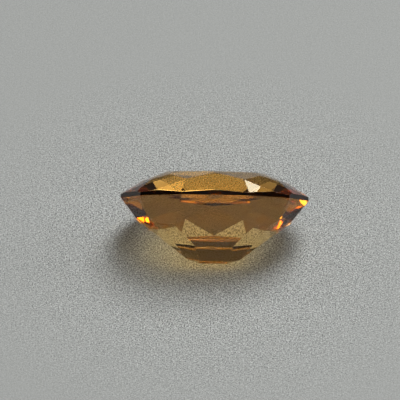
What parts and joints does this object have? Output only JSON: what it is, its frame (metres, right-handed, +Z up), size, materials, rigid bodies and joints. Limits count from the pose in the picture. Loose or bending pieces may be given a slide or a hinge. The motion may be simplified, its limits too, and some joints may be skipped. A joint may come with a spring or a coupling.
{
  "type": "faceted heliodor gemstone",
  "caption": "Oval mixed-cut heliodor: a clear honey-yellow beryl gemstone with a flat table and kite facets above its girdle and a keeled pavilion below, lying on its side.",
  "frame": {"origin": "centre of the bounding box at its base, on the plane that the stone lies on", "axes": "+X along the stone's length, +Z up, away from the resting facet; the table faces +Z and +Y"},
  "size_m": [0.012, 0.0072, 0.0068],
  "materials": {
    "heliodor": "clear polished honey-yellow beryl"
  },
  "bodies": {
    "root": {"cut_stone": "heliodor"}
  },
  "joints": []
}
